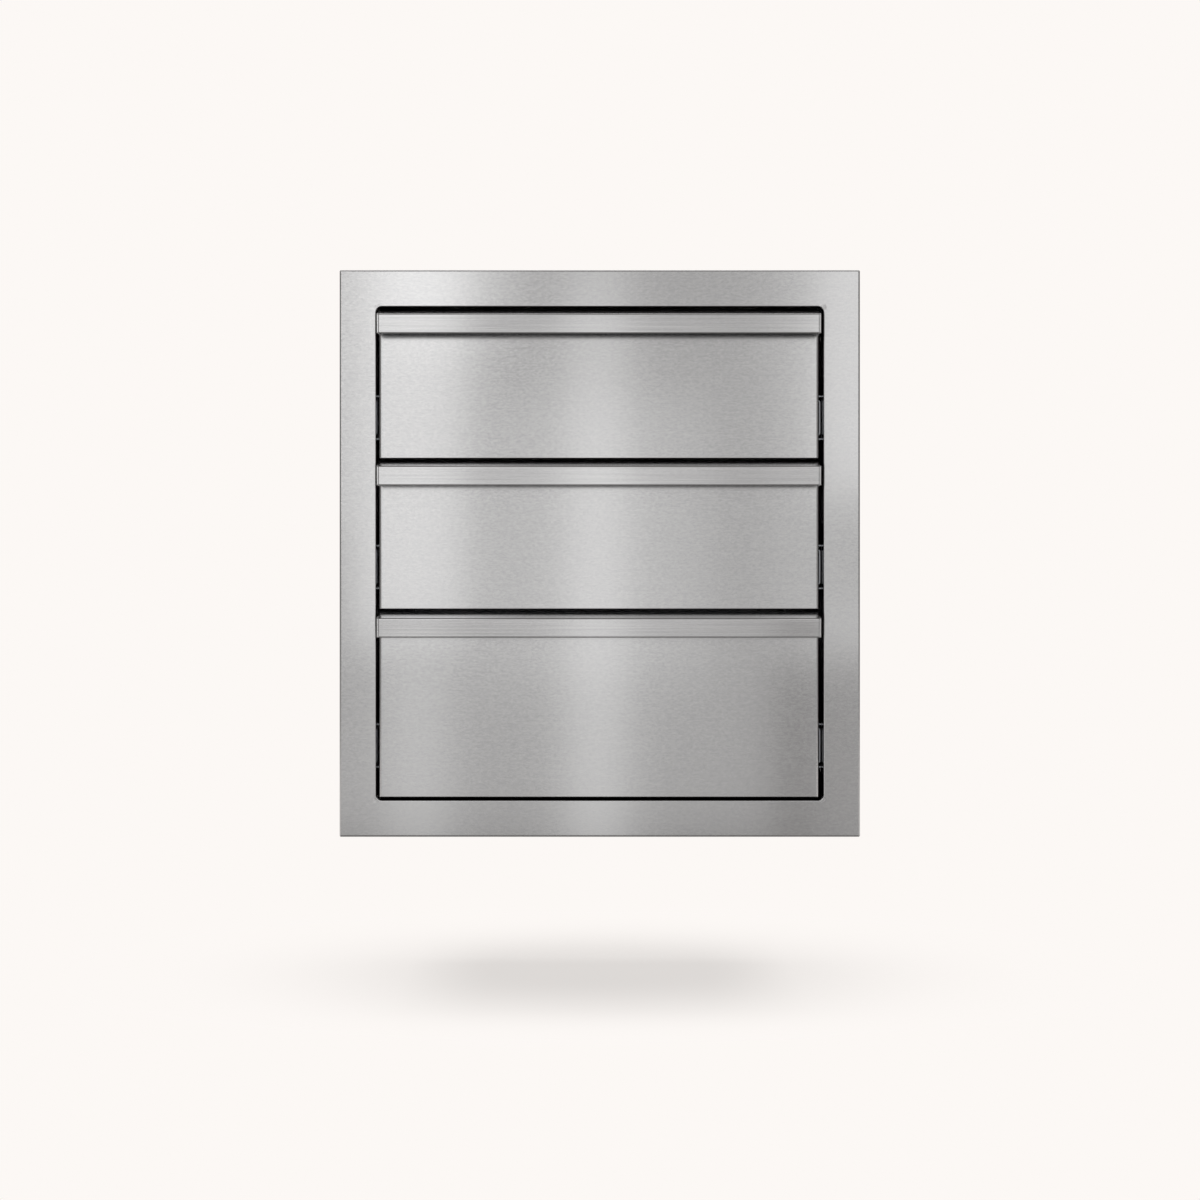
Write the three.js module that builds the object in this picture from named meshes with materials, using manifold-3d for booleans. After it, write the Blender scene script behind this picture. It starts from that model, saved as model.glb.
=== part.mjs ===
// Outdoor kitchen drawer unit: a flanged stainless face frame with a sheet housing behind it, and three
// drawers with full-width lip pulls that run on ball-bearing slides.
// Millimetres. X to the right as seen from the front, Y into the unit, Z up.
// The origin lies on the flange's seat, the back of its turned edge, at the middle of the lower side.

import * as THREE from "three";
import { mergeVertices } from "three/addons/utils/BufferGeometryUtils.js";
import Module from "manifold-3d";

const wasm = await Module();
wasm.setup();

// Face frame
const flangeWidth = 528;
const flangeHeight = 575;
const railWidth = 37; // from the flange's outer edge to the opening, on all four sides
const frameSheet = 1.2;
const flangeDepth = 8; // from the flange's front to its seat on the island
const innerReturnDepth = 20; // how far the opening's turned edge reaches back from the front
const flangeCornerRadius = 1.5;
const openingCornerRadius = 6;

// Clearances
const hairline = 0.3; // between sheets that lie on each other or are welded
const topGap = 4.6; // from the opening's top edge to the top drawer
const drawerGap = 3.3; // between drawers, and under the lowest one
const sideGap = 4; // from a drawer face to the opening, on each side
const frontShift = 0.9; // the faces are set this far to the left on their slotted screws

// Drawer faces
const shallowFaceHeight = 149.5;
const faceSheet = 1.2;
const faceDepth = 18; // from the face's front to the end of its returns
const faceBendRadius = 3;
const backPlateSheet = 1;

// Pulls
const pullReach = 25; // how far the pull stands in front of the face
const pullSlope = 6; // how far its top falls towards the front
const pullDrop = 25.4; // from the face's top edge to the pull's lower edge
const pullLean = 1; // how far the lip's lower edge lies behind its upper one
const pullSheet = 1.2;
const pullBendRadius = 2.2;
const pullHemHeight = 7; // how far the folded-back edge climbs behind the lip
const pullHemGap = 0.8; // inside the fold
const pullTabHeight = 13; // the tab that is welded to the face
const pullEndSheet = 2;

// Trays
const traySheet = 1;
const trayLift = 14; // from the face's lower edge to the tray's underside
const shallowTrayHeight = 75;
const deepTrayHeight = 87;
const trayRimWidth = 7; // how far the rolled rim stands out from the tray's side
const trayRimHeight = 6.8;
const trayBendRadius = 2;
const trayPastSlides = 1.9; // how far the tray's back lies behind its slides
const trayEndGap = 14; // from the tray's back to the housing's back

// Slides
const slideLength = 450;
const slideHeight = 45;
const slideThickness = 12.7; // from the housing's side to the tray
const slideSheet = 1.2;
const slideBendRadius = 1.4;
const slideRunningGap = 0.35; // between the members' webs and the cages
const slideLipDepth = 2.6; // the turned-in edges that trap the balls
const slideTipGap = 0.7; // from the channels' open edges to the tray's side
const slideRiseAboveShallowEdge = 43; // from a shallow face's lower edge to the slide's middle
const slideRiseAboveDeepEdge = 51;
const slideStart = 1.5; // behind the tray's front wall
const cageLength = 96;
const cageSheet = 0.6;
const ballDiameter = 3.2;
const ballGap = 0.25;
const ballsInRow = 4;

// Housing
const housingSheet = 1;
const housingLap = 14; // the turned edges that lie on the neighbouring panel
const fixingHoleRadius = 2.5;
const fixingHoleInset = 30; // from the side panel's edges to the fixing holes

// Screws that hold a face to its tray
const screwSpacing = 300;
const screwHeight = 36; // above the tray's underside
const screwShankRadius = 2;
const screwHeadRadius = 3.6;
const screwHeadHeight = 2.4;
const screwReach = 5; // past the back plate
const screwHoleRadius = 2.4;
const adjustingHoleRadius = 3.4;

const bendSteps = 3; // flats in a rounded corner
const roundSteps = 16; // flats round a screw or a fixing hole
const overrun = 1; // how far a cutting body passes what it cuts
const samePoint = 1e-4; // closer than this, two outline points are one

const openingWidth = flangeWidth - 2 * railWidth;
const openingHeight = flangeHeight - 2 * railWidth;
const flangeBottom = -frameSheet / 2;
const openingBottom = flangeBottom + railWidth;
const openingTop = openingBottom + openingHeight;
const frontPlane = -flangeDepth;
const faceWidth = openingWidth - 2 * sideGap;
const deepFaceHeight = openingHeight - topGap - 3 * drawerGap - 2 * shallowFaceHeight;

// The two shallow drawers are above the deep one, and all are listed from the top down.
const drawers = [
  { height: shallowFaceHeight, trayHeight: shallowTrayHeight, slideRise: slideRiseAboveShallowEdge },
  { height: shallowFaceHeight, trayHeight: shallowTrayHeight, slideRise: slideRiseAboveShallowEdge },
  { height: deepFaceHeight, trayHeight: deepTrayHeight, slideRise: slideRiseAboveDeepEdge },
];
let nextTop = openingTop - topGap;
drawers.forEach((drawer, index) => {
  drawer.number = index + 1;
  drawer.top = nextTop;
  drawer.bottom = nextTop - drawer.height;
  drawer.trayBottom = drawer.bottom + trayLift;
  drawer.slideMiddle = drawer.bottom + drawer.slideRise;
  nextTop = drawer.bottom - drawerGap;
});

// Where the pieces lie one behind the other
const faceBack = frontPlane + faceDepth;
const backPlateFront = faceBack + hairline;
const trayFront = backPlateFront + backPlateSheet + hairline;
const slideFront = trayFront + traySheet + slideStart;
const slideBack = slideFront + slideLength;
const trayBack = slideBack + trayPastSlides;
const backInside = trayBack + trayEndGap;
const housingFront = frontPlane + frameSheet + hairline;
const housingBackEnd = backInside + housingSheet;
const innerReturnEnd = frontPlane + innerReturnDepth;

// Where the housing's top and bottom lie: on the face frame's returns
const bottomInside = openingBottom - frameSheet - hairline;
const topInside = openingTop + frameSheet + hairline;

// Where the pieces lie one beside the other, as distances from the middle
const housingInside = openingWidth / 2 + frameSheet + hairline;
const housingOutside = housingInside + housingSheet;
const trayHalfWidth = housingInside - hairline - slideThickness - hairline;

const brushedSteel = { roughness: 0.32, metalness: 1 };
const finishes = {
  frame: { color: 0xc4c4c6, ...brushedSteel },
  face: { color: 0xcacacb, ...brushedSteel },
  pull: { color: 0xc0c0c2, ...brushedSteel },
  tray: { color: 0xb8b8ba, ...brushedSteel },
  housing: { color: 0xa9a9ac, ...brushedSteel },
  slide: { color: 0x8f9296, roughness: 0.38, metalness: 1 },
  cage: { color: 0x75787c, roughness: 0.3, metalness: 1 },
  screw: { color: 0xb2b3b5, roughness: 0.3, metalness: 1 },
};

const unit = new THREE.Group();

function place(name, geometry, finish) {
  const mesh = new THREE.Mesh(geometry, new THREE.MeshStandardMaterial(finish));
  mesh.name = name;
  unit.add(mesh);
}

// A closed geometry as a solid that can be joined and cut
function toSolid(geometry) {
  const bare = geometry.clone();
  bare.deleteAttribute("normal");
  bare.deleteAttribute("uv");
  const merged = mergeVertices(bare);
  return new wasm.Manifold(
    new wasm.Mesh({
      numProp: 3,
      vertProperties: new Float32Array(merged.attributes.position.array),
      triVerts: new Uint32Array(merged.index.array),
    }),
  );
}

function toGeometry(solid) {
  const mesh = solid.getMesh();
  const geometry = new THREE.BufferGeometry();
  geometry.setAttribute("position", new THREE.BufferAttribute(new Float32Array(mesh.vertProperties), 3));
  geometry.setIndex(new THREE.BufferAttribute(new Uint32Array(mesh.triVerts), 1));
  return geometry;
}

function join(...geometries) {
  return toGeometry(geometries.map(toSolid).reduce((whole, piece) => whole.add(piece)));
}

function cut(geometry, ...tools) {
  return toGeometry(tools.map(toSolid).reduce((whole, tool) => whole.subtract(tool), toSolid(geometry)));
}

// A box between two corners
function box([x0, y0, z0], [x1, y1, z1]) {
  const geometry = new THREE.BoxGeometry(x1 - x0, y1 - y0, z1 - z0);
  return geometry.translate((x0 + x1) / 2, (y0 + y1) / 2, (z0 + z1) / 2);
}

// Outline points are (y, z) for an extrusion along X, (x, z) along Y and (x, y) along Z.
const toAxis = {
  X: new THREE.Matrix4().set(0, 0, 1, 0, 1, 0, 0, 0, 0, 1, 0, 0, 0, 0, 0, 1),
  Y: new THREE.Matrix4().set(1, 0, 0, 0, 0, 0, -1, 0, 0, 1, 0, 0, 0, 0, 0, 1),
  Z: new THREE.Matrix4(),
};

function extrude(axis, outline, start, end, holes = []) {
  const shape = new THREE.Shape(outline.map(([a, b]) => new THREE.Vector2(a, b)));
  shape.holes = holes.map((hole) => new THREE.Path(hole.map(([a, b]) => new THREE.Vector2(a, b))));
  const geometry = new THREE.ExtrudeGeometry(shape, { depth: end - start, bevelEnabled: false });
  geometry.applyMatrix4(toAxis[axis]);
  const offset = { X: [start, 0, 0], Y: [0, end, 0], Z: [0, 0, start] }[axis];
  return geometry.translate(...offset);
}

// The corner points [a, b, radius] of an open or closed line, with each radius drawn as short flats
function rounded(corners, closed) {
  const count = corners.length;
  return corners.flatMap(([a, b, radius = 0], index) => {
    const isEnd = !closed && (index === 0 || index === count - 1);
    if (isEnd || radius === 0) return [[a, b]];
    const corner = new THREE.Vector2(a, b);
    const before = corners[(index + count - 1) % count];
    const after = corners[(index + 1) % count];
    const toBefore = new THREE.Vector2(before[0] - a, before[1] - b).normalize();
    const toAfter = new THREE.Vector2(after[0] - a, after[1] - b).normalize();
    const halfAngle = Math.acos(toBefore.dot(toAfter)) / 2;
    const middle = toBefore.clone().add(toAfter).normalize();
    const centre = corner.clone().addScaledVector(middle, radius / Math.sin(halfAngle));
    const reach = radius / Math.tan(halfAngle);
    const first = corner.clone().addScaledVector(toBefore, reach).sub(centre);
    const last = corner.clone().addScaledVector(toAfter, reach).sub(centre);
    const turn = Math.atan2(first.cross(last), first.dot(last));
    return Array.from({ length: bendSteps + 1 }, (_, step) => {
      const point = first.clone().rotateAround(new THREE.Vector2(), (turn * step) / bendSteps);
      return point.add(centre).toArray();
    });
  });
}

function roundedRectangle(x0, z0, x1, z1, radius) {
  return rounded([[x0, z0, radius], [x1, z0, radius], [x1, z1, radius], [x0, z1, radius]], true);
}

// The outline of a bent sheet: its middle line is given by corners [a, b, bend radius]
function sheetOutline(corners, thickness) {
  const line = rounded(corners, false)
    .map(([a, b]) => new THREE.Vector2(a, b))
    .filter((point, index, all) => index === 0 || point.distanceTo(all[index - 1]) > samePoint);
  const directions = line.slice(1).map((point, index) => point.clone().sub(line[index]).normalize());
  const side = (sign) =>
    line.map((point, index) => {
      const before = directions[Math.max(index - 1, 0)];
      const after = directions[Math.min(index, directions.length - 1)];
      const across = new THREE.Vector2(-before.y - after.y, before.x + after.x).normalize();
      const stretch = across.dot(new THREE.Vector2(-after.y, after.x));
      return point.clone().addScaledVector(across, (sign * thickness) / 2 / stretch).toArray();
    });
  return [...side(1), ...side(-1).reverse()];
}

// The face frame: the flange, its outer edge turned back to the seat, and the opening's edge turned inwards
function faceFrame() {
  const outer = (inset) =>
    roundedRectangle(
      -flangeWidth / 2 + inset,
      flangeBottom + inset,
      flangeWidth / 2 - inset,
      flangeBottom + flangeHeight - inset,
      flangeCornerRadius + frameSheet - inset,
    );
  const opening = (outset) =>
    roundedRectangle(
      -openingWidth / 2 - outset,
      openingBottom - outset,
      openingWidth / 2 + outset,
      openingTop + outset,
      openingCornerRadius + outset,
    );
  const sheetBack = frontPlane + frameSheet;
  const flange = extrude("Y", outer(0), frontPlane, sheetBack, [opening(0)]);
  const outerReturn = extrude("Y", outer(0), frontPlane, 0, [outer(frameSheet)]);
  const innerReturn = extrude("Y", opening(frameSheet), frontPlane, innerReturnEnd, [opening(0)]);
  return join(flange, outerReturn, innerReturn);
}

// A housing side: a flat sheet welded behind the flange, with holes for the screws into the island
function housingSide(side) {
  const inside = side * housingInside;
  const outside = side * housingOutside;
  const low = bottomInside - housingSheet;
  const high = topInside + housingSheet;
  const panel = box(
    [Math.min(inside, outside), housingFront, low],
    [Math.max(inside, outside), housingBackEnd, high],
  );
  const holeFronts = [innerReturnEnd + fixingHoleInset, housingBackEnd - fixingHoleInset];
  const holeHeights = [low + fixingHoleInset, high - fixingHoleInset];
  const holes = holeFronts.flatMap((y) =>
    holeHeights.map((z) => {
      const drill = new THREE.CylinderGeometry(
        fixingHoleRadius,
        fixingHoleRadius,
        housingSheet + 2 * overrun,
        roundSteps,
      );
      return drill.rotateZ(Math.PI / 2).translate((inside + outside) / 2, y, z);
    }),
  );
  return cut(panel, ...holes);
}

// The housing's top or bottom: a sheet between the sides, with its turned edges on them. The edges are
// notched off in front, where the face frame's returns are, and behind, where the back's edges are.
function housingCover(up) {
  const middle = (up > 0 ? topInside : bottomInside) + (up * housingSheet) / 2;
  const edge = housingInside - hairline - housingSheet / 2;
  const tip = middle - up * housingLap;
  const outline = sheetOutline(
    [[-edge, tip], [-edge, middle, housingSheet], [edge, middle, housingSheet], [edge, tip]],
    housingSheet,
  );
  const sheet = extrude("Y", outline, housingFront, housingBackEnd);
  const stretches = [
    [housingFront - overrun, innerReturnEnd + hairline],
    [housingBackEnd - housingLap - hairline, housingBackEnd + overrun],
  ];
  const notches = [-1, 1].flatMap((side) => {
    const across = [side * (edge - 2 * housingSheet), side * (edge + overrun)];
    const heights = [tip - up * overrun, middle + up * overrun];
    const low = [Math.min(...across), Math.min(...heights)];
    const high = [Math.max(...across), Math.max(...heights)];
    return stretches.map(([front, back]) => box([low[0], front, low[1]], [high[0], back, high[1]]));
  });
  return cut(sheet, ...notches);
}

// The housing's back: a shallow pan that fits inside the other four panels, its edges turned forwards
function housingBack() {
  const half = housingInside - hairline;
  const low = bottomInside + hairline;
  const high = topInside - hairline;
  const front = housingBackEnd - housingLap;
  const block = box([-half, front, low], [half, housingBackEnd, high]);
  const hollow = box(
    [-half + housingSheet, front - overrun, low + housingSheet],
    [half - housingSheet, backInside, high - housingSheet],
  );
  return cut(block, hollow);
}

// A drawer face: a folded pan, open behind
function drawerFace(drawer) {
  const half = faceWidth / 2 - faceSheet / 2;
  const front = frontPlane + faceSheet / 2;
  const sides = sheetOutline(
    [[-half, faceBack], [-half, front, faceBendRadius], [half, front, faceBendRadius], [half, faceBack]],
    faceSheet,
  );
  const shell = extrude("Z", sides, drawer.bottom, drawer.top);
  const edgeHalf = faceWidth / 2 - faceBendRadius;
  const edges = [drawer.bottom, drawer.top - faceSheet].map((z) =>
    box([-edgeHalf, frontPlane + faceSheet / 2, z], [edgeHalf, faceBack, z + faceSheet]),
  );
  return join(shell, ...edges);
}

function backPlate(drawer) {
  const half = faceWidth / 2;
  const plate = box(
    [-half, backPlateFront, drawer.bottom],
    [half, backPlateFront + backPlateSheet, drawer.top],
  );
  return cut(plate, ...screwDrills(drawer, adjustingHoleRadius, backPlateFront, backPlateSheet));
}

function screwDrills(drawer, radius, start, sheet) {
  return [-1, 1].map((side) => {
    const drill = new THREE.CylinderGeometry(radius, radius, sheet + 2 * overrun, roundSteps);
    return drill.translate((side * screwSpacing) / 2, start + sheet / 2, drawer.trayBottom + screwHeight);
  });
}

// The pull's folded strip, seen from the side: tab on the face, sloping top, lip and flat hem
function pullCorners(drawer) {
  const tabBack = frontPlane - hairline - pullSheet / 2;
  const rearTop = new THREE.Vector2(tabBack, drawer.top - pullSheet / 2);
  const slope = new THREE.Vector2(hairline + pullSheet - pullReach, -pullSlope);
  const frontTop = rearTop.clone().add(slope);
  const lipHeight = frontTop.y - (drawer.top - pullDrop) - pullSheet / 2;
  const lip = new THREE.Vector2(pullLean, -lipHeight);
  const lipFoot = frontTop.clone().add(lip);
  const upwards = new THREE.Vector2(slope.y, -slope.x).normalize();
  const forwards = new THREE.Vector2(lip.y, -lip.x).normalize();
  const hemWidth = pullHemGap + pullSheet;
  const hemFoot = lipFoot.clone().addScaledVector(forwards, -hemWidth);
  const hemTop = hemFoot.clone().addScaledVector(lip, -pullHemHeight / lip.length());
  return { tabBack, rearTop, frontTop, lipFoot, hemFoot, hemTop, hemWidth, upwards, forwards };
}

function pullStrip(drawer) {
  const { tabBack, rearTop, frontTop, lipFoot, hemFoot, hemTop, hemWidth } = pullCorners(drawer);
  const outline = sheetOutline(
    [
      [tabBack, drawer.top - pullTabHeight],
      [...rearTop.toArray(), pullSheet],
      [...frontTop.toArray(), pullBendRadius],
      [...lipFoot.toArray(), hemWidth / 2],
      [...hemFoot.toArray(), hemWidth / 2],
      hemTop.toArray(),
    ],
    pullSheet,
  );
  const half = faceWidth / 2 - pullEndSheet - hairline;
  return extrude("X", outline, -half, half);
}

// A plate that closes one end of the pull, as deep and as tall as the folded strip
function pullEnd(drawer, side) {
  const { frontTop, lipFoot, upwards, forwards } = pullCorners(drawer);
  const rear = frontPlane - hairline;
  const half = pullSheet / 2;
  const outwards = upwards.clone().add(forwards);
  const nose = frontTop.clone().addScaledVector(outwards, half / outwards.dot(upwards));
  const downwards = new THREE.Vector2(-forwards.y, forwards.x);
  const foot = lipFoot.clone().addScaledVector(forwards, half).addScaledVector(downwards, half);
  const outline = rounded(
    [
      [rear, drawer.top],
      [...nose.toArray(), pullBendRadius + half],
      [...foot.toArray(), half],
      [rear, drawer.top - pullDrop],
    ],
    true,
  );
  const outside = faceWidth / 2;
  const start = side < 0 ? -outside : outside - pullEndSheet;
  return extrude("X", outline, start, start + pullEndSheet);
}

// A tray: two sides and a bottom in one folded sheet with rolled rims, and welded front and back walls
function tray(drawer) {
  const wall = trayHalfWidth - traySheet / 2;
  const floor = drawer.trayBottom + traySheet / 2;
  const rim = drawer.trayBottom + drawer.trayHeight - traySheet / 2;
  const rimFoot = drawer.trayBottom + drawer.trayHeight - trayRimHeight;
  const half = (side) => [
    [side * (wall + trayRimWidth), rimFoot],
    [side * (wall + trayRimWidth), rim, trayBendRadius],
    [side * wall, rim, trayBendRadius],
    [side * wall, floor, trayBendRadius],
  ];
  const outline = sheetOutline([...half(-1), ...half(1).reverse()], traySheet);
  const shell = extrude("Y", outline, trayFront, trayBack);
  const ends = [trayFront, trayBack - traySheet].map((y) =>
    box(
      [-wall, y, drawer.trayBottom + traySheet / 2],
      [wall, y + traySheet, drawer.trayBottom + drawer.trayHeight - traySheet / 2],
    ),
  );
  return cut(join(shell, ...ends), ...screwDrills(drawer, screwHoleRadius, trayFront, traySheet));
}

// A screw with a domed head inside the tray, through its front wall and the back plate
function screw(drawer, side) {
  const headBack = trayFront + traySheet + hairline;
  const tip = backPlateFront - screwReach;
  const profile = [
    [0, tip],
    [screwShankRadius, tip],
    [screwShankRadius, headBack],
    [screwHeadRadius, headBack],
    [screwHeadRadius, headBack + screwHeadHeight / 2],
    [screwHeadRadius / 2, headBack + screwHeadHeight],
    [0, headBack + screwHeadHeight],
  ].map(([radius, along]) => new THREE.Vector2(radius, along));
  const turned = new THREE.LatheGeometry(profile, roundSteps);
  return turned.translate((side * screwSpacing) / 2, 0, drawer.trayBottom + screwHeight);
}

// Across a slide, from the housing's side inwards: each web's near face
const cabinetWeb = hairline;
const outerCageWeb = cabinetWeb + slideSheet + slideRunningGap;
const middleWeb = outerCageWeb + cageSheet + slideRunningGap;
const innerCageWeb = middleWeb + slideSheet + slideRunningGap;
const drawerMemberEdge = innerCageWeb + cageSheet + slideRunningGap;
const drawerMemberWeb = hairline + slideThickness - slideSheet;
const channelTip = hairline + slideThickness - slideTipGap;

// Up a slide, from its middle: each flange's outer face, with a row of balls between one and the next
const ballRow = ballDiameter + 2 * ballGap;
const cabinetFlange = slideHeight / 2;
const middleFlange = cabinetFlange - slideSheet - ballRow;
const drawerMemberFlange = middleFlange - slideSheet - ballRow;
const ballAcross = (middleWeb + slideSheet + channelTip - slideSheet) / 2;

// A slide part's outline from its upper half, whose corners are [from the housing's side, up from the middle]
function slideOutline(upperHalf, thickness, side, middleHeight) {
  const lowerHalf = upperHalf.map(([across, up, radius]) => [across, -up, radius]).reverse();
  const corners = [...upperHalf, ...lowerHalf].map(([across, up, radius]) => [
    side * (housingInside - across),
    middleHeight + up,
    radius,
  ]);
  return sheetOutline(corners, thickness);
}

// A channel with turned-in lips, open towards the tray
function lippedChannel(web, flange, side, middleHeight) {
  const half = slideSheet / 2;
  const upperHalf = [
    [channelTip - half, flange - slideSheet - slideLipDepth],
    [channelTip - half, flange - half, slideBendRadius],
    [web + half, flange - half, slideBendRadius],
  ];
  return slideOutline(upperHalf, slideSheet, side, middleHeight);
}

function cabinetMember(drawer, side) {
  const outline = lippedChannel(cabinetWeb, cabinetFlange, side, drawer.slideMiddle);
  return extrude("Y", outline, slideFront, slideBack);
}

function middleMember(drawer, side) {
  const outline = lippedChannel(middleWeb, middleFlange, side, drawer.slideMiddle);
  return extrude("Y", outline, slideFront, slideBack);
}

// The drawer member is a plain channel with its web on the tray
function drawerMember(drawer, side) {
  const half = slideSheet / 2;
  const upperHalf = [
    [drawerMemberEdge, drawerMemberFlange - half],
    [drawerMemberWeb + half, drawerMemberFlange - half, slideBendRadius],
  ];
  const outline = slideOutline(upperHalf, slideSheet, side, drawer.slideMiddle);
  return extrude("Y", outline, slideFront, slideBack);
}

// A ball cage: a thin channel with a row of balls in each flange
function ballCage(drawer, side, web, flangeOutside) {
  const half = cageSheet / 2;
  const rowHeight = flangeOutside - slideSheet - ballRow / 2;
  const tip = ballAcross + ballDiameter / 2 + cageSheet;
  const upperHalf = [[tip, rowHeight], [web + half, rowHeight, cageSheet]];
  const outline = slideOutline(upperHalf, cageSheet, side, drawer.slideMiddle);
  const start = slideFront + (slideLength - cageLength) / 2;
  const channel = extrude("Y", outline, start, start + cageLength);
  const pitch = cageLength / ballsInRow;
  const balls = [-1, 1].flatMap((row) =>
    Array.from({ length: ballsInRow }, (_, index) => {
      const ball = new THREE.IcosahedronGeometry(ballDiameter / 2);
      return ball.translate(
        side * (housingInside - ballAcross),
        start + pitch * (index + 1 / 2),
        drawer.slideMiddle + row * rowHeight,
      );
    }),
  );
  return join(channel, ...balls);
}

place("face_frame", faceFrame(), finishes.frame);
place("housing_left_side", housingSide(-1), finishes.housing);
place("housing_right_side", housingSide(1), finishes.housing);
place("housing_top", housingCover(1), finishes.housing);
place("housing_bottom", housingCover(-1), finishes.housing);
place("housing_back", housingBack(), finishes.housing);

const sides = { left: -1, right: 1 };
for (const drawer of drawers) {
  const name = (piece) => `drawer_${drawer.number}_${piece}`;
  const shifted = (geometry) => geometry.translate(-frontShift, 0, 0);
  place(name("face"), shifted(drawerFace(drawer)), finishes.face);
  place(name("back_plate"), shifted(backPlate(drawer)), finishes.face);
  place(name("pull"), shifted(pullStrip(drawer)), finishes.pull);
  place(name("tray"), tray(drawer), finishes.tray);
  for (const [hand, side] of Object.entries(sides)) {
    place(name(`pull_end_${hand}`), shifted(pullEnd(drawer, side)), finishes.pull);
    place(name(`screw_${hand}`), screw(drawer, side), finishes.screw);
    const slideName = (piece) => `slide_${drawer.number}_${hand}_${piece}`;
    place(slideName("cabinet_member"), cabinetMember(drawer, side), finishes.slide);
    place(slideName("outer_cage"), ballCage(drawer, side, outerCageWeb, cabinetFlange), finishes.cage);
    place(slideName("middle_member"), middleMember(drawer, side), finishes.slide);
    place(slideName("inner_cage"), ballCage(drawer, side, innerCageWeb, middleFlange), finishes.cage);
    place(slideName("drawer_member"), drawerMember(drawer, side), finishes.slide);
  }
}

export default unit;
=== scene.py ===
import math

import bmesh
import bpy
from mathutils import Matrix, Vector


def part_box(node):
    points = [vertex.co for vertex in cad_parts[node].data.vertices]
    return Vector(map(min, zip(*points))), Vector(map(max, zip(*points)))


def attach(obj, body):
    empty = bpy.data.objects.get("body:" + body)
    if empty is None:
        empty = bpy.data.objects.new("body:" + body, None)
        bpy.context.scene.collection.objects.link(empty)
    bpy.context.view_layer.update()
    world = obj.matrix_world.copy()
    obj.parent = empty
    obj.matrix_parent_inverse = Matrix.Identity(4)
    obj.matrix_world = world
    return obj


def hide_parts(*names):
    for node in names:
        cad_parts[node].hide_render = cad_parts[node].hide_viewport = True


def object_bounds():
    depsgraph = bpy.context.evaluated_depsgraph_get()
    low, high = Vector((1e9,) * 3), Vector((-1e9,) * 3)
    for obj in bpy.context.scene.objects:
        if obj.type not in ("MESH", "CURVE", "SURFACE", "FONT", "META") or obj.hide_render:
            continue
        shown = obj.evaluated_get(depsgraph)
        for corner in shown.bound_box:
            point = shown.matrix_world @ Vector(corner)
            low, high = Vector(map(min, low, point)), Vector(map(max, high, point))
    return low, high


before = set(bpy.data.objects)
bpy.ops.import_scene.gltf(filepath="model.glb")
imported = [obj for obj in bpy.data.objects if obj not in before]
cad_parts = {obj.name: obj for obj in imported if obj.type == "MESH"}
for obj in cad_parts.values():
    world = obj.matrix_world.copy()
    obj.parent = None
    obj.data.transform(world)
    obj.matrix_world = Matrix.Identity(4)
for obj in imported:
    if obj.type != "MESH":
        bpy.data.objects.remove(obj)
cad_low, cad_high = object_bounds()
MM = 0.001

# The studio
# A level camera looks at the front from a little above the lowest pull, and the unit hangs over a pale
# floor that holds its soft shadow. A row of upright soft boxes stands in front, out of the camera's
# sight: the brushed steel mirrors them as light bands, and the dim air between them as dark ones.
FLANGE_LOW, FLANGE_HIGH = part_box("face_frame")
FLANGE_WIDTH = FLANGE_HIGH.x - FLANGE_LOW.x
CAMERA_DISTANCE = 2258 * MM
# Where the photo shows the flange
PHOTO_PIXELS = 1200
FLANGE_WIDTH_PIXELS = 520.8
FLANGE_FOOT_PIXEL = 837.0
FLANGE_MIDDLE_PIXEL = 599.8
METRES_PER_PIXEL = FLANGE_WIDTH / FLANGE_WIDTH_PIXELS
EYE_HEIGHT = FLANGE_LOW.z + (FLANGE_FOOT_PIXEL - PHOTO_PIXELS / 2) * METRES_PER_PIXEL
EYE_ACROSS = (PHOTO_PIXELS / 2 - FLANGE_MIDDLE_PIXEL) * METRES_PER_PIXEL
SENSOR_WIDTH_MM = 36


def link_object(name, data):
    """A new object in the scene, with the mesh, lamp or camera given."""
    piece = bpy.data.objects.new(name, data)
    bpy.context.scene.collection.objects.link(piece)
    return piece


camera_data = bpy.data.cameras.new("studio_camera")
camera_data.sensor_width = SENSOR_WIDTH_MM
camera_data.lens = SENSOR_WIDTH_MM * CAMERA_DISTANCE / (PHOTO_PIXELS * METRES_PER_PIXEL)
camera = link_object("studio_camera", camera_data)
camera.location = (EYE_ACROSS, FLANGE_LOW.y - CAMERA_DISTANCE, EYE_HEIGHT)
camera.rotation_euler = (math.pi / 2, 0, 0)
bpy.context.scene.camera = camera
bpy.context.scene.view_settings.view_transform = "Standard"


def linear(hex_colour):
    """An sRGB hex colour as the linear colour that a shader takes."""
    shares = [int(hex_colour[start : start + 2], 16) / 255 for start in (1, 3, 5)]
    return (*[s / 12.92 if s <= 0.04045 else ((s + 0.055) / 1.055) ** 2.4 for s in shares], 1)


def add_node(tree, kind, inputs=None, **settings):
    """One node with its settings, and its inputs given as values or as the sockets that feed them."""
    made = tree.nodes.new(kind)
    for name, value in settings.items():
        setattr(made, name, value)
    for name, value in (inputs or {}).items():
        if isinstance(value, bpy.types.NodeSocket):
            tree.links.new(value, made.inputs[name])
        else:
            made.inputs[name].default_value = value
    return made


def new_material(name):
    """A material with an empty node tree and its output node."""
    material = bpy.data.materials.new(name)
    material.use_nodes = True
    material.node_tree.nodes.clear()
    return material, material.node_tree


BACKGROUND_COLOUR = "#FCF8F5"
FRONT_AIR_SHARE = 0.25
REAR_AIR_SHARE = 0.8
# From sideways, 0, to straight back, 1
AIR_TURN_START = 0.0
AIR_TURN_END = 0.75

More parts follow.
